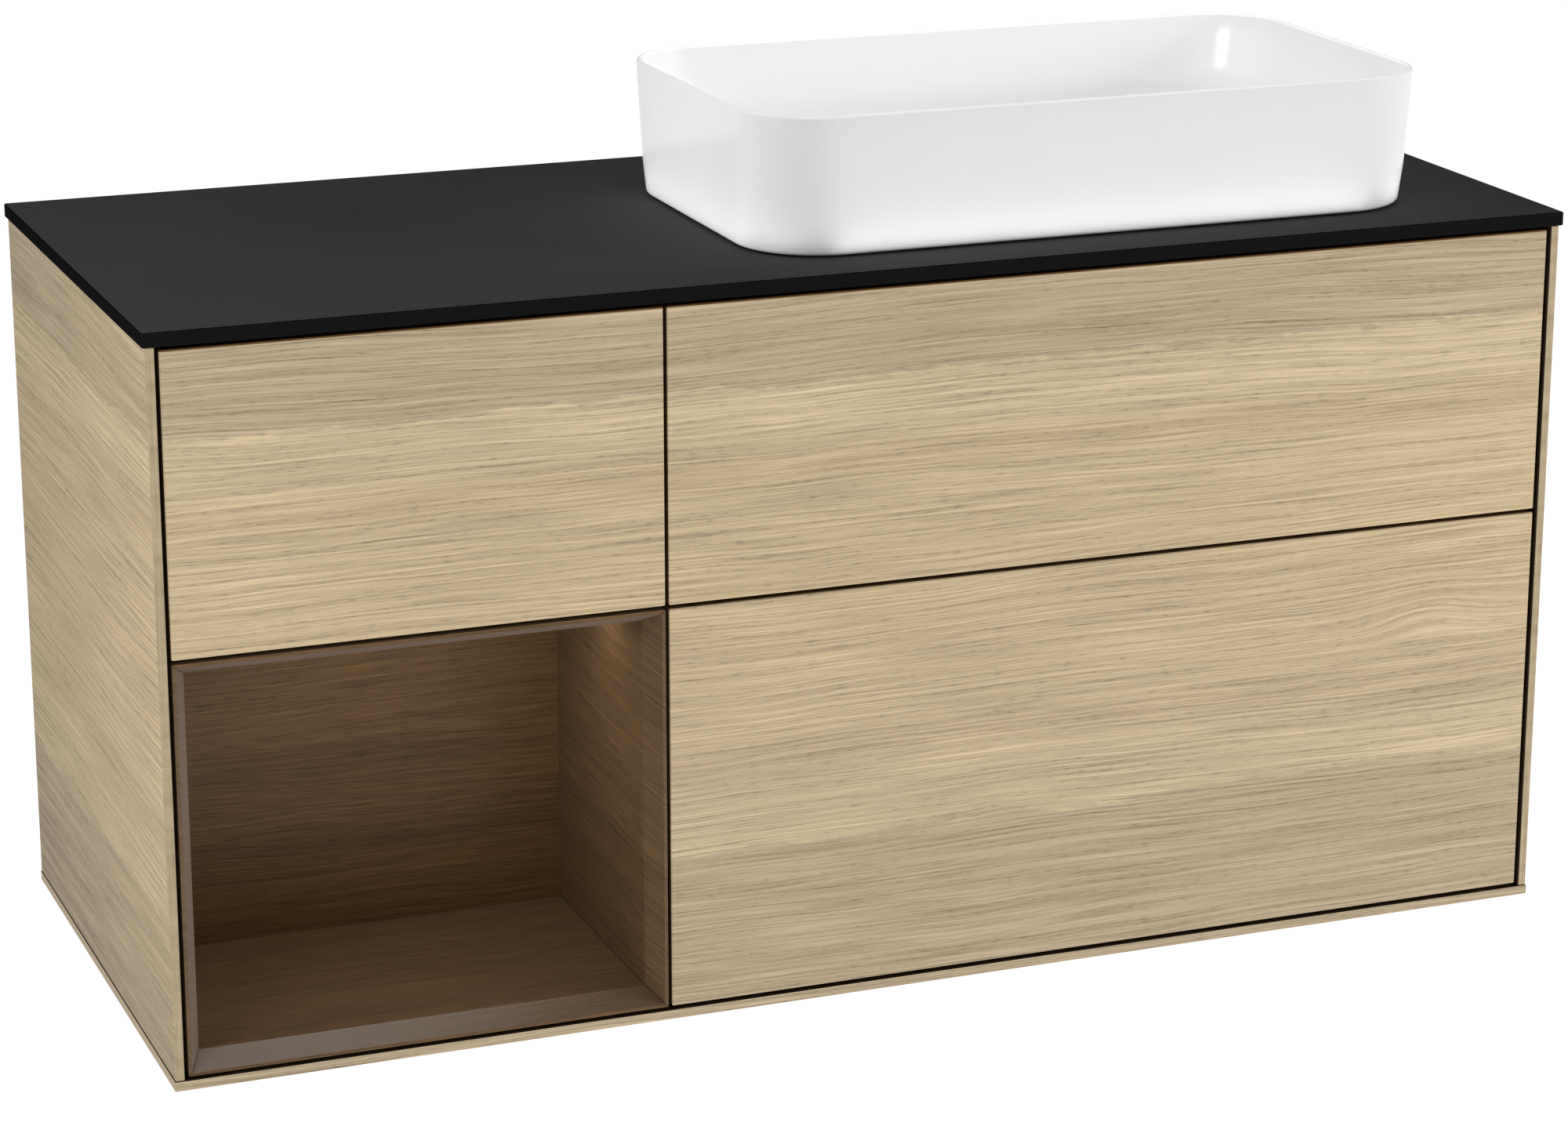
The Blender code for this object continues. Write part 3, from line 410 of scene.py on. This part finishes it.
# ---------------------------------------------------------------- walnut veneer
def walnut(name, axis):
    """Dark satin veneer with its grain along one axis, with a painted reflection haze and a painted sheen on
    the chamfers.
    """
    wiring = Wiring(name, 0.40, 0.0, 0.22)
    x, y, z = wiring.split(wiring.place)
    along = {"X": x, "Y": y, "Z": z}[axis]
    if axis == "X":
        across = wiring.math("ADD", z, wiring.math("MULTIPLY", y, 0.83))
    elif axis == "Y":
        across = wiring.math("ADD", z, wiring.math("MULTIPLY", x, 0.83))
    else:
        across = wiring.math("ADD", x, wiring.math("MULTIPLY", y, 0.83))
    slow = wiring.noise(wiring.stretch(along, across, 2.6, 9.0, 2.0), 1.0, 2.0, 0.5)
    level = wiring.math(
        "ADD", across, wiring.math("MULTIPLY", wiring.math("SUBTRACT", slow, 0.5), 0.030))
    broad = wiring.noise(wiring.stretch(along, level, 1.8, 30.0, 5.0), 1.0, 2.0, 0.6)
    streak = wiring.noise(wiring.stretch(along, level, 4.0, 330.0, 6.0), 1.0, 3.0, 0.6)
    fine = wiring.noise(wiring.stretch(along, level, 15.0, 660.0, 7.0), 1.0, 3.0, 0.70)
    value = wiring.math("ADD", wiring.math("MULTIPLY", broad, 0.35), wiring.math("MULTIPLY", streak, 0.65))
    tone = wiring.ramp(value, [
        (0.36, linear(88, 64, 37)), (0.46, linear(98, 72, 42)),
        (0.54, linear(105, 78, 46)), (0.64, linear(114, 86, 52))])
    bright = wiring.span(fine, 0.3, 0.7, 0.66, 1.34)
    pores = wiring.span(
        wiring.noise(wiring.stretch(along, level, 46.0, 950.0, 8.0), 1.0, 1.0, 0.5),
        0.57, 0.68, 0.0, 1.0, True)
    bright = wiring.math("SUBTRACT", bright, wiring.math("MULTIPLY", pores, 0.30))
    grain = wiring.join(bright, bright, bright)
    final = colour_mix(wiring, 1.0, tone, grain, "MULTIPLY")
    face_x, face_y, face_z = wiring.split(wiring.facing)
    upward = wiring.math("GREATER_THAN", face_z, 0.5)
    # painted reflection: a pale haze over the niche's sides, and over the upward faces of level boards
    if axis == "Y":
        final = colour_mix(wiring, 0.16, final, linear(112, 101, 93))
    else:
        final = colour_mix(wiring, wiring.math("MULTIPLY", upward, 0.13), final, linear(142, 129, 119))
    # painted sheen on the chamfers: the bottom one fading to the right, the top and left ones even
    sloped = wiring.math(
        "MULTIPLY", wiring.math("LESS_THAN", face_y, -0.3), wiring.math("GREATER_THAN", face_y, -0.6))
    on_bottom = wiring.math("MULTIPLY", upward, wiring.span(x, -0.50, -0.16, 0.85, 0.0, True))
    on_top = wiring.math("MULTIPLY", wiring.math("LESS_THAN", face_z, -0.5), 0.75)
    on_left = wiring.math("MULTIPLY", wiring.math("GREATER_THAN", face_x, 0.5), 0.75)
    sides = wiring.math("ADD", on_bottom, wiring.math("ADD", on_top, on_left))
    painted_sheen = wiring.math("MULTIPLY", sloped, sides)
    wiring.colour(colour_mix(wiring, painted_sheen, final, linear(126, 111, 101)))
    wiring.rough(wiring.span(fine, 0.3, 0.7, 0.44, 0.34))
    wiring.bump(wiring.math("SUBTRACT", fine, pores), 0.08, 0.0002)
    return wiring.material


# ---------------------------------------------------------------- other finishes
def black_glass():
    """Opaque back-painted glass with an etched, matt surface, a painted reflection on its top and painted
    shade along it.
    """
    wiring = Wiring("black_glass_fine", 0.45, 0.0, 0.0)
    cloud = wiring.noise(wiring.place, 6.0, 3.0, 0.55)
    speck = wiring.noise(wiring.place, 1400.0, 2.0, 0.6)
    etched = wiring.ramp(cloud, [(0.35, (0.106, 0.106, 0.1065, 1.0)), (0.65, (0.114, 0.114, 0.1145, 1.0))])
    # painted shade: the glass darkens from left to right
    painted_falloff = wiring.span(wiring.split(wiring.place)[0], -0.6, 0.6, 1.08, 0.64)
    etched = colour_mix(wiring, 1.0, etched, wiring.join(painted_falloff, painted_falloff, painted_falloff), "MULTIPLY")
    # the top is lighter than the edges, partly from the etching and partly as a painted reflection, as the
    # glass has no specular shine
    upward = wiring.math("GREATER_THAN", wiring.split(wiring.facing)[2], 0.9)
    wiring.colour(colour_mix(wiring, upward, (0.0085, 0.0085, 0.0087, 1.0), etched))
    wiring.rough(wiring.math(
        "ADD", wiring.span(cloud, 0.3, 0.7, 0.38, 0.44), wiring.span(speck, 0.3, 0.7, -0.02, 0.02)))
    wiring.bump(speck, 0.03, 0.00005)
    return wiring.material


def glaze():
    """White gloss glaze, very slightly uneven over the clay, with painted light: walls facing into the bowl
    lighter and upward faces below the rim darker.
    """
    wiring = Wiring("glaze", 0.18, 0.0, 0.10)
    cloud = wiring.noise(wiring.place, 9.0, 3.0, 0.5)
    tone = wiring.ramp(cloud, [(0.35, (0.755, 0.755, 0.755, 1.0)), (0.65, (0.768, 0.768, 0.766, 1.0))])
    low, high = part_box("basin")
    x, y, z = wiring.split(wiring.place)
    face_x, face_y, face_z = wiring.split(wiring.facing)
    # painted light: faces turned into the bowl are lighter than the outside
    inward_x = wiring.math("MULTIPLY", face_x, wiring.math("SUBTRACT", (low.x + high.x) / 2, x))
    inward_y = wiring.math("MULTIPLY", face_y, wiring.math("SUBTRACT", (low.y + high.y) / 2, y))
    inward = wiring.math("ADD", inward_x, inward_y)
    painted_inner_light = wiring.span(inward, -0.02, 0.0, 0.0, 1.0)
    tone = colour_mix(wiring, painted_inner_light, tone, (0.930, 0.930, 0.928, 1.0))
    # painted shade: upward faces below the rim are darker
    upward = wiring.span(face_z, 0.40, 0.80, 0.0, 1.0, True)
    level = wiring.math("MULTIPLY", upward, wiring.math("LESS_THAN", z, high.z - 0.010))
    wiring.colour(colour_mix(wiring, level, tone, (0.740, 0.740, 0.738, 1.0)))
    wiring.rough(wiring.span(cloud, 0.3, 0.7, 0.16, 0.20))
    wiring.bump(wiring.noise(wiring.place, 38.0, 2.0, 0.5), 0.02, 0.0006)
    return wiring.material


def metal(name, tone, roughness, grain=(1.0, 1.0, 1.0), bump=0.04):
    """Bare metal with drawn marks along the axis whose grain number is smallest."""
    wiring = Wiring(name, roughness, 1.0)
    mapping = wiring.node("ShaderNodeMapping")
    wiring.plug(mapping.inputs["Vector"], wiring.place)
    mapping.inputs["Scale"].default_value = grain
    marks = wiring.noise(mapping.outputs[0], 1.0, 4.0, 0.6)
    cloud = wiring.noise(wiring.place, 24.0, 3.0, 0.5)
    dark = tuple(0.86 * value for value in tone) + (1.0,)
    light = tuple(min(1.0, 1.06 * value) for value in tone) + (1.0,)
    wiring.colour(wiring.ramp(marks, [(0.3, dark), (0.7, light)]))
    wiring.rough(wiring.math("ADD", wiring.span(marks, 0.3, 0.7, roughness - 0.05, roughness + 0.07),
                             wiring.span(cloud, 0.3, 0.7, -0.03, 0.04)))
    wiring.bump(marks, bump, 0.0001)
    return wiring.material


def coated(name, dark, light, roughness, size, bump, specular=0.4):
    """Powder coat, moulded plastic, melamine or rubber: fine even texture over one tone."""
    wiring = Wiring(name, roughness, 0.0, specular)
    cloud = wiring.noise(wiring.place, 14.0, 3.0, 0.55)
    texture = wiring.noise(wiring.place, size, 2.0, 0.6)
    value = wiring.math("ADD", wiring.math("MULTIPLY", cloud, 0.65), wiring.math("MULTIPLY", texture, 0.35))
    wiring.colour(wiring.ramp(value, [(0.36, dark + (1.0,)), (0.64, light + (1.0,))]))
    wiring.rough(wiring.span(texture, 0.3, 0.7, roughness - 0.05, roughness + 0.06))
    wiring.bump(texture, bump, 0.0002)
    return wiring.material


OAK_FRONT = oak("oak_front", "X", "edges")
OAK_SIDE = oak("oak_side", "Y", "inside")
OAK_BOTTOM = oak("oak_bottom", "X", "top")
WALNUT_X = walnut("walnut_level", "X")
WALNUT_Y = walnut("walnut_depth", "Y")
GLASS = black_glass()
GLAZE = glaze()
CHROME = metal("chrome_polished", (0.86, 0.86, 0.88), 0.09, (60.0, 60.0, 60.0), 0.003)
ZINC = metal("zinc_drawn", (0.62, 0.63, 0.65), 0.34, (900.0, 16.0, 900.0), 0.06)
ALUMINIUM = metal("aluminium_anodised", (0.74, 0.74, 0.76), 0.36, (14.0, 900.0, 900.0), 0.05)
COAT = coated("anthracite_coat", (0.050, 0.053, 0.057), (0.066, 0.069, 0.073), 0.52, 900.0, 0.10)
MELAMINE = coated("melamine", (0.222, 0.212, 0.197), (0.236, 0.226, 0.210), 0.55, 480.0, 0.08, 0.3)
PLASTIC = coated("moulded_plastic", (0.72, 0.72, 0.70), (0.79, 0.79, 0.77), 0.38, 700.0, 0.03, 0.5)
RUBBER = coated("seal_rubber", (0.012, 0.012, 0.012), (0.020, 0.020, 0.020), 0.78, 800.0, 0.10, 0.25)
OPAL = coated("opal_cover", (0.80, 0.76, 0.68), (0.88, 0.84, 0.76), 0.40, 300.0, 0.02, 0.5)

OPAL.node_tree.nodes["Principled BSDF"].inputs["Emission Color"].default_value = (1.0, 0.80, 0.58, 1.0)
OPAL.node_tree.nodes["Principled BSDF"].inputs["Emission Strength"].default_value = 2.2

BY_SLOT = {
    "oak_veneer": OAK_FRONT, "walnut_veneer": WALNUT_X, "black_glass": GLASS, "white_ceramic": GLAZE,
    "chrome": CHROME, "zinc_steel": ZINC, "drawer_metal": COAT, "carcass_board": MELAMINE,
    "sealing_rubber": RUBBER, "white_plastic": PLASTIC, "aluminium": ALUMINIUM,
    "opal_diffuser": OPAL}
BY_NODE = {
    "side_panel_left": OAK_SIDE, "side_panel_right": OAK_SIDE, "bottom_panel": OAK_BOTTOM,
    "niche_side_left": WALNUT_Y, "niche_side_right": WALNUT_Y}


def paint_frame():
    """Gives every CAD node its fine material."""
    finish = {part["node"]: part["material_slot"] for part in frame["record"]["subparts"]}
    for name, node in NODES.items():
        material = BY_NODE.get(name, BY_SLOT[finish[name]])
        for slot in node.material_slots:
            slot.material = material


# ---------------------------------------------------------------- basin
def rounded_outline(half_x, half_y, radius, steps):
    """Points round a rectangle with rounded corners, anticlockwise."""
    points = []
    corners = ((1, 1, 0), (-1, 1, 90), (-1, -1, 180), (1, -1, 270))
    for sign_x, sign_y, start in corners:
        middle_x = sign_x * (half_x - radius)
        middle_y = sign_y * (half_y - radius)
        for step in range(steps + 1):
            angle = math.radians(start + 90 * step / steps)
            points.append((middle_x + radius * math.cos(angle), middle_y + radius * math.sin(angle)))
    return points


def straight_points(points, steps, per_side):
    """The same outline with extra points along its straight sides."""
    result = []
    block = steps + 1
    for corner in range(4):
        result += points[corner * block:(corner + 1) * block]
        end = Vector(points[(corner + 1) * block - 1])
        start = Vector(points[((corner + 1) * block) % len(points)])
        for step in range(1, per_side):
            point = end.lerp(start, step / per_side)
            result.append((point.x, point.y))
    return result


def make_basin():
    low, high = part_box("basin")
    middle = (low + high) / 2
    length, breadth = high.x - low.x, high.y - low.y
    height = high.z - low.z
    steps, per_side = 16, 10
    corner, taper, wall, floor = 0.0658, 0.0048, 0.0055, 0.018

    def ring(inset, level, radius):
        outline = rounded_outline(length / 2 - inset, breadth / 2 - inset, max(radius, 0.004), steps)
        return [(x, y, level) for x, y in straight_points(outline, steps, per_side)]

    def disc(radius, level):
        outline = straight_points(rounded_outline(1.0, 1.0, 0.9, steps), steps, per_side)
        return [
            (radius * math.cos(math.atan2(y, x)), radius * math.sin(math.atan2(y, x)), level)
            for x, y in outline]

    hollow, seat = 0.004, 0.0105
    rings = [disc(0.0225, hollow), disc(0.0225, seat - 0.001), disc(0.0228, seat - 0.0002),
             disc(0.0335, seat), disc(0.0342, seat + 0.0004), disc(0.0348, seat + 0.0030),
             disc(0.0362, seat + 0.0042), disc(0.0450, seat + 0.0052)]
    foot, fillet = wall + 0.0150, 0.036
    flat = 0.5 * min(length, breadth) - foot - fillet
    floor_rings = [
        (foot + fillet + 0.55 * flat, floor - 0.0012, 0.040),
        (foot + fillet + 0.2 * flat, floor - 0.0003, 0.046)]
    for inset, level, radius in floor_rings:
        rings.append(ring(inset, level, radius))
    for step in range(13):
        angle = math.radians(90 * step / 12)
        rings.append(ring(
            foot + fillet * (1 - math.sin(angle)), floor + fillet * (1 - math.cos(angle)),
            corner - 0.004 - 0.5 * fillet * (1 - math.sin(angle))))
    rim = 0.0022
    for part in (0.25, 0.5, 0.75):
        inset = foot * (1 - part) + wall * part
        level = (floor + fillet) * (1 - part) + (height - rim) * part
        rings.append(ring(inset, level, (corner - 0.004) * (1 - part) + (corner - wall) * part))
    for side in (1, -1):
        angles = range(0, 91, 15) if side > 0 else range(90, -1, -15)
        for angle in angles:
            turn = math.radians(angle)
            inset = wall - rim * (1 - math.cos(turn)) if side > 0 else rim * (1 - math.cos(turn))
            rings.append(ring(inset, height - rim + rim * math.sin(turn), corner - inset))
    for part in (0.25, 0.5, 0.75):
        rings.append(ring(taper * part, (height - rim) * (1 - part) + 0.0035 * part, corner))
    outer = corner + taper
    foot_rings = (
        (0.0, 0.0035), (0.0003, 0.0020), (0.0012, 0.0008), (0.0028, 0.0), (0.0150, 0.0), (0.0170, hollow))
    for inset, level in foot_rings:
        rings.append(ring(taper + inset, level, outer - inset))

    mesh = bpy.data.meshes.new("basin_shell")
    shape = bmesh.new()
    made = [[shape.verts.new(point) for point in points] for points in rings]
    count = len(made[0])
    for lower, upper in zip(made, made[1:] + made[:1]):
        for step in range(count):
            after = (step + 1) % count
            shape.faces.new((lower[step], lower[after], upper[after], upper[step]))
    bmesh.ops.recalc_face_normals(shape, faces=shape.faces)
    shape.to_mesh(mesh)
    shape.free()
    mesh.shade_smooth()
    mesh.transform(Matrix.Translation((middle.x, middle.y, low.z)))
    mesh.materials.append(GLAZE)
    piece = bpy.data.objects.new("basin_shell", mesh)
    SCENE.collection.objects.link(piece)
    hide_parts("basin")
    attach(piece, "carcass")
    return piece


# ---------------------------------------------------------------- waste and trap
def swept(shape, profile, place, steps=96, ribs=0, depth=0.0):
    """Closed skin of a (radius, height) ring turned round its axis; ribs make grips on the widest part."""
    widest = max(radius for radius, height in profile)
    rings = []
    for radius, height in profile:
        if radius == 0.0:
            rings.append([shape.verts.new(place(0.0, 0.0, height))])
            continue
        ring = []
        for step in range(steps):
            angle = 2 * math.pi * step / steps
            size = radius
            if ribs and radius > widest - 0.002:
                size -= depth * (0.5 - 0.5 * math.cos(ribs * angle)) ** 2
            ring.append(shape.verts.new(place(size * math.cos(angle), size * math.sin(angle), height)))
        rings.append(ring)
    pairs = list(zip(rings, rings[1:]))
    if len(rings[0]) > 1:
        pairs.append((rings[-1], rings[0]))
    for lower, upper in pairs:
        for step in range(steps):
            after = (step + 1) % steps
            corners = [lower[step % len(lower)], lower[after % len(lower)],
                       upper[after % len(upper)], upper[step % len(upper)]]
            corners = [corner for index, corner in enumerate(corners) if corner not in corners[:index]]
            shape.faces.new(corners)


def finish_turned(node, material, shape):
    mesh = bpy.data.meshes.new(node + "_fine")
    bmesh.ops.recalc_face_normals(shape, faces=shape.faces)
    shape.to_mesh(mesh)
    shape.free()
    mesh.shade_smooth()
    mesh.set_sharp_from_angle(angle=math.radians(34))
    mesh.materials.append(material)
    piece = bpy.data.objects.new(node + "_fine", mesh)
    SCENE.collection.objects.link(piece)
    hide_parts(node)
    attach(piece, "waste_plug" if node == "waste_plug" else "carcass")


def turned(node, material, profile, wall=False, ribs=0, depth=0.0):
    """Replaces a node by a finer turned piece; heights start at the low end of its box."""
    low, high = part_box(node)
    middle = (low + high) / 2

    def upright(x, y, height):
        return (middle.x + x, middle.y + y, low.z + height)

    def to_wall(x, y, height):
        return (middle.x + x, low.y + height, middle.z + y)

    shape = bmesh.new()
    swept(shape, profile, to_wall if wall else upright, 96, ribs, depth)
    finish_turned(node, material, shape)


def grip_nut(node, bore):
    low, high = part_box(node)
    radius, height = (high.x - low.x) / 2, high.z - low.z
    turned(node, PLASTIC, [
        (bore, 0.0), (radius - 0.0030, 0.0), (radius - 0.0008, 0.0007), (radius, 0.0022),
        (radius, height - 0.0022), (radius - 0.0008, height - 0.0007), (radius - 0.0030, height),
        (bore, height)], ribs=8, depth=0.0034)


def make_flange():
    low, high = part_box("waste_flange")
    radius, height = (high.x - low.x) / 2, high.z - low.z
    bore, tube = 0.019, 0.021
    profile = [
        (bore, height - 0.0016), (bore + 0.0005, height - 0.0006), (bore + 0.0013, height - 0.0001),
        (bore + 0.0022, height), (radius - 0.0014, height), (radius - 0.0006, height - 0.0002),
        (radius - 0.0001, height - 0.0006), (radius, height - 0.0012), (radius, height - 0.0025),
        (tube, height - 0.0025)]
    level = height - 0.014
    while level > 0.004:
        profile += [(tube, level), (tube - 0.0006, level - 0.0009)]
        level -= 0.0018
    turned("waste_flange", CHROME, profile + [(tube - 0.0006, 0.0), (bore, 0.0)])


def make_plug():
    low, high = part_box("waste_plug")
    radius, height = (high.x - low.x) / 2, high.z - low.z
    guide, base, crown = 0.0165, 0.028, 0.0042
    profile = [(0.0, height)]
    for step in range(1, 19):
        angle = math.radians(5 * step)
        profile.append((radius * math.sin(angle), height - crown + crown * math.cos(angle)))
    profile += [
        (radius, base + 0.0007), (radius - 0.0002, base + 0.0002), (radius - 0.0007, base), (guide, base),
        (guide, 0.0021), (guide - 0.0006, 0.0006), (guide - 0.0020, 0.0), (0.0, 0.0)]
    turned("waste_plug", CHROME, profile)


def make_cup():
    """Bottle trap and its outlet stub."""
    low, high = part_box("trap_cup")
    axis_x, axis_y = (low.x + high.x) / 2, low.y + (high.x - low.x) / 2
    radius, height, skin, neck, bore = (high.x - low.x) / 2, high.z - low.z, 0.003, 0.024, 0.017
    stub, outlet = 0.0185, 0.462

    def upright(x, y, level):
        return (axis_x + x, axis_y + y, low.z + level)

    def to_wall(x, y, level):
        return (axis_x + x, axis_y + level, outlet + y)

    shape = bmesh.new()
    swept(shape, [
        (0.0, skin), (radius - 0.010, skin + 0.0012), (radius - 0.0055, skin + 0.0044),
        (radius - skin, 0.014), (radius - skin, height - 0.013), (bore, height - 0.009), (bore, height),
        (neck - 0.0005, height), (neck, height - 0.0005), (neck, height - 0.0080),
        (neck + 0.0010, height - 0.0092),
        (radius - 0.0030, height - 0.0104), (radius - 0.0009, height - 0.0116),
        (radius, height - 0.0140), (radius, 0.0220), (radius - 0.0010, 0.0215), (radius - 0.0010, 0.0200),
        (radius, 0.0195), (radius, 0.0120), (radius - 0.0008, 0.0082), (radius - 0.0032, 0.0042),
        (radius - 0.0075, 0.0016), (radius - 0.0130, 0.0004), (0.0, 0.0)], upright)
    end, start = high.y - axis_y, radius - 0.0015
    swept(shape, [
        (0.0, start), (stub, start), (stub, end - 0.0006), (stub - 0.0006, end), (0.0, end)], to_wall)
    finish_turned("trap_cup", PLASTIC, shape)


def make_waste():
    make_flange()
    make_plug()
    grip_nut("waste_locknut", 0.0214)
    grip_nut("trap_nut", 0.0164)
    low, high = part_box("waste_tailpiece")
    height = high.z - low.z
    turned("waste_tailpiece", PLASTIC, [
        (0.0145, 0.0), (0.0155, 0.0), (0.0160, 0.0005), (0.0160, height - 0.0180), (0.0168, height - 0.0176),
        (0.0244, height - 0.0144), (0.0250, height - 0.0138), (0.0250, height - 0.0005),
        (0.0245, height), (0.0170, height), (0.0170, height - 0.010), (0.0145, height - 0.014)])
    make_cup()
    low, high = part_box("trap_outlet_pipe")
    length = high.y - low.y
    turned("trap_outlet_pipe", PLASTIC, [
        (0.0145, 0.0), (0.0209, 0.0), (0.0215, 0.0006), (0.0215, 0.0196), (0.0209, 0.0206),
        (0.0168, 0.0236), (0.0160, 0.0248), (0.0160, length), (0.0145, length)], wall=True)
    turned("wall_rosette", CHROME, [
        (0.0165, 0.0), (0.0190, 0.0), (0.0204, 0.0002), (0.0222, 0.0009), (0.0246, 0.0021), (0.0270, 0.0029),
        (0.0296, 0.0040), (0.0320, 0.0056), (0.0335, 0.0071), (0.0340, 0.0080), (0.0340, 0.0090),
        (0.0165, 0.0090)], wall=True)


make_camera()
make_studio()
paint_frame()
make_waste()
make_basin_light(make_basin())
make_niche_light()
